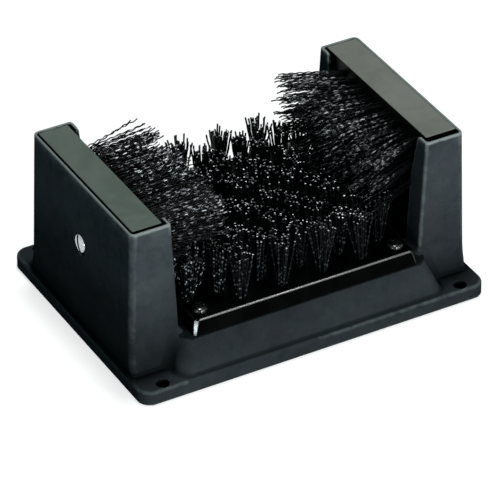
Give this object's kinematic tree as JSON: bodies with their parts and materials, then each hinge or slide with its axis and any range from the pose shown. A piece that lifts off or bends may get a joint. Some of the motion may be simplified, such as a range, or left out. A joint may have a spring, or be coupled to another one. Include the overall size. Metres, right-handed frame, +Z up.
{
  "type": "boot scraper",
  "caption": "Bolt-down boot scraper: a grey cast base with two upright towers, with stiff black brushes on its deck and in both towers for cleaning boot soles and sides",
  "frame": {"origin": "middle of the base, on the ground", "axes": "X from the left tower to the right one, Y from front to back, Z up"},
  "size_m": [0.305, 0.222, 0.1373],
  "materials": {
    "casting": "matte charcoal powder coat on a rough casting",
    "block": "glossy moulded black",
    "bristle": "stiff drawn black fibre",
    "black_screw": "glossy black coat",
    "zinc_screw": "bright zinc plating"
  },
  "bodies": {
    "root": {"base_frame": "casting", "bottom_brush_block": "block", "left_brush_block": "block", "right_brush_block": "block", "bottom_bristles": "bristle", "left_bristles": "bristle", "right_bristles": "bristle", "bottom_screw_front_left": "black_screw", "bottom_screw_front_right": "black_screw", "bottom_screw_rear_left": "black_screw", "bottom_screw_rear_right": "black_screw", "left_side_screw": "zinc_screw", "right_side_screw": "zinc_screw"}
  },
  "joints": []
}
